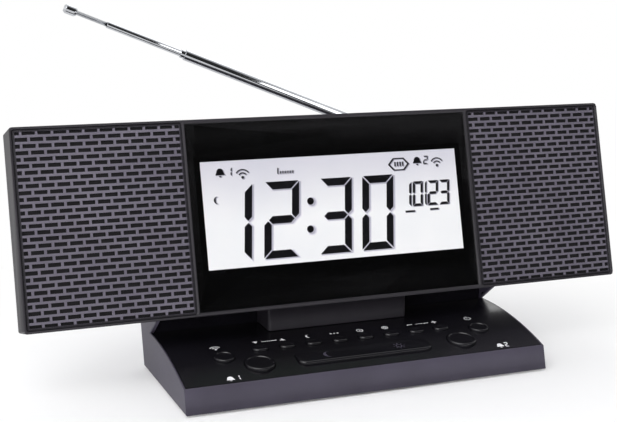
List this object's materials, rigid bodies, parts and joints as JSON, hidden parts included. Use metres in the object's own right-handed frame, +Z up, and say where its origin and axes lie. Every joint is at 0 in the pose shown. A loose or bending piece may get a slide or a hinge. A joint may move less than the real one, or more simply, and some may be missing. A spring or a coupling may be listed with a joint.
{
  "type": "clock radio",
  "caption": "Table clock radio: wide leaning head with a large display between perforated speaker fronts, on a low base with a curved key deck and a telescopic antenna.",
  "frame": {"origin": "on the table, under the middle of the base", "axes": "+X to the right seen from the front, +Y to the back, +Z up"},
  "size_m": [0.28, 0.1006, 0.1609],
  "materials": {
    "satin_abs": "fine satin texture",
    "gloss_abs": "polished",
    "clear_acrylic": "polished",
    "black_film": "printed",
    "display": "polished, lit from behind",
    "diffuser": "milky",
    "circuit_board": "lacquered",
    "black_nylon": "moulded",
    "painted_steel": "satin grey paint",
    "driver_steel": "black paint",
    "cone_paper": "pressed pulp",
    "ferrite": "ground",
    "bright_steel": "zinc plated",
    "chrome": "polished",
    "rubber": "moulded",
    "cell_jacket": "printed foil",
    "grey_cable": "flat insulation"
  },
  "bodies": {
    "housing": {"base_housing": "satin_abs", "control_panel": "gloss_abs", "neck_fascia": "gloss_abs", "neck_post": "satin_abs", "bottom_cover": "satin_abs", "rubber_feet": "rubber", "bottom_screws": "bright_steel", "backup_cells": "cell_jacket", "cell_contacts": "bright_steel", "key_board": "circuit_board", "key_switches": "black_nylon", "key_board_screws": "bright_steel", "rear_panel": "satin_abs", "rear_screws": "bright_steel", "main_board": "circuit_board", "board_parts": "black_nylon", "tuner_can": "bright_steel", "power_inlet": "black_nylon", "audio_socket": "black_nylon", "ribbon_cable": "grey_cable", "main_board_screws": "bright_steel", "front_cabinet": "satin_abs", "display_lens": "clear_acrylic", "lens_border": "black_film", "display_glass": "display", "backlight_diffuser": "diffuser", "display_board": "circuit_board", "display_board_screws": "bright_steel", "grille_left": "painted_steel", "grille_right": "painted_steel", "basket_left": "driver_steel", "basket_right": "driver_steel", "cone_left": "cone_paper", "cone_right": "cone_paper", "magnet_left": "ferrite", "magnet_right": "ferrite", "speaker_screws": "bright_steel", "rear_cover": "satin_abs", "cover_screws": "bright_steel", "antenna_bush": "black_nylon"},
    "snooze_button": {"snooze_key": "gloss_abs"},
    "alarm_1_button": {"alarm_1_key": "gloss_abs"},
    "alarm_2_button": {"alarm_2_key": "gloss_abs"},
    "source_button": {"source_key": "gloss_abs"},
    "power_button": {"power_key": "gloss_abs"},
    "tune_down_button": {"tune_down_key": "gloss_abs"},
    "tune_up_button": {"tune_up_key": "gloss_abs"},
    "sleep_button": {"sleep_key": "gloss_abs"},
    "preset_button": {"preset_key": "gloss_abs"},
    "clock_button": {"clock_key": "gloss_abs"},
    "zone_button": {"zone_key": "gloss_abs"},
    "volume_down_button": {"volume_down_key": "gloss_abs"},
    "volume_up_button": {"volume_up_key": "gloss_abs"},
    "door": {"battery_door": "satin_abs"},
    "swivel": {"antenna_swivel": "chrome", "antenna_pin": "chrome"},
    "outer_section": {"antenna_outer_tube": "chrome"},
    "second_section": {"antenna_second_tube": "chrome"},
    "third_section": {"antenna_third_tube": "chrome"},
    "rod_section": {"antenna_rod": "chrome"}
  },
  "joints": [
    {"name": "snooze_press", "type": "slide", "parent": "housing", "child": "snooze_button", "axis": [0, 0.1478, -0.989], "range_m": [0, 0.0006], "stiffness_N_per_m": 1200, "springref_m": -0.0006},
    {"name": "alarm_1_press", "type": "slide", "parent": "housing", "child": "alarm_1_button", "axis": [0, 0.1478, -0.989], "range_m": [0, 0.0006], "stiffness_N_per_m": 900, "springref_m": -0.0006},
    {"name": "alarm_2_press", "type": "slide", "parent": "housing", "child": "alarm_2_button", "axis": [0, 0.1478, -0.989], "range_m": [0, 0.0006], "stiffness_N_per_m": 900, "springref_m": -0.0006},
    {"name": "source_press", "type": "slide", "parent": "housing", "child": "source_button", "axis": [0, 0.1478, -0.989], "range_m": [0, 0.0006], "stiffness_N_per_m": 900, "springref_m": -0.0006},
    {"name": "power_press", "type": "slide", "parent": "housing", "child": "power_button", "axis": [0, 0.1478, -0.989], "range_m": [0, 0.0006], "stiffness_N_per_m": 900, "springref_m": -0.0006},
    {"name": "tune_down_press", "type": "slide", "parent": "housing", "child": "tune_down_button", "axis": [0, 0.1478, -0.989], "range_m": [0, 0.0006], "stiffness_N_per_m": 900, "springref_m": -0.0006},
    {"name": "tune_up_press", "type": "slide", "parent": "housing", "child": "tune_up_button", "axis": [0, 0.1478, -0.989], "range_m": [0, 0.0006], "stiffness_N_per_m": 900, "springref_m": -0.0006},
    {"name": "sleep_press", "type": "slide", "parent": "housing", "child": "sleep_button", "axis": [0, 0.1478, -0.989], "range_m": [0, 0.0006], "stiffness_N_per_m": 900, "springref_m": -0.0006},
    {"name": "preset_press", "type": "slide", "parent": "housing", "child": "preset_button", "axis": [0, 0.1478, -0.989], "range_m": [0, 0.0006], "stiffness_N_per_m": 900, "springref_m": -0.0006},
    {"name": "clock_press", "type": "slide", "parent": "housing", "child": "clock_button", "axis": [0, 0.1478, -0.989], "range_m": [0, 0.0006], "stiffness_N_per_m": 900, "springref_m": -0.0006},
    {"name": "zone_press", "type": "slide", "parent": "housing", "child": "zone_button", "axis": [0, 0.1478, -0.989], "range_m": [0, 0.0006], "stiffness_N_per_m": 900, "springref_m": -0.0006},
    {"name": "volume_down_press", "type": "slide", "parent": "housing", "child": "volume_down_button", "axis": [0, 0.1478, -0.989], "range_m": [0, 0.0006], "stiffness_N_per_m": 900, "springref_m": -0.0006},
    {"name": "volume_up_press", "type": "slide", "parent": "housing", "child": "volume_up_button", "axis": [0, 0.1478, -0.989], "range_m": [0, 0.0006], "stiffness_N_per_m": 900, "springref_m": -0.0006},
    {"name": "door_slide", "type": "slide", "parent": "housing", "child": "door", "axis": [0, 1, 0], "range_m": [0, 0.03]},
    {"name": "antenna_turn", "type": "hinge", "parent": "housing", "child": "swivel", "pos_m": [0.072, 0.04327, 0.07896], "axis": [0, 0.2453, 0.9694], "range_deg": [-180, 0]},
    {"name": "antenna_fold", "type": "hinge", "parent": "swivel", "child": "outer_section", "pos_m": [0.072, 0.04524, 0.08672], "axis": [0, 0.9694, -0.2453], "range_deg": [-22.6, 67.4]},
    {"name": "second_slide", "type": "slide", "parent": "outer_section", "child": "second_section", "axis": [-0.9232, 0.0943, 0.3726], "range_m": [-0.0015, 0.11]},
    {"name": "third_slide", "type": "slide", "parent": "second_section", "child": "third_section", "axis": [-0.9232, 0.0943, 0.3726], "range_m": [-0.034, 0.075]},
    {"name": "rod_slide", "type": "slide", "parent": "third_section", "child": "rod_section", "axis": [-0.9232, 0.0943, 0.3726], "range_m": [-0.0135, 0.092]}
  ]
}
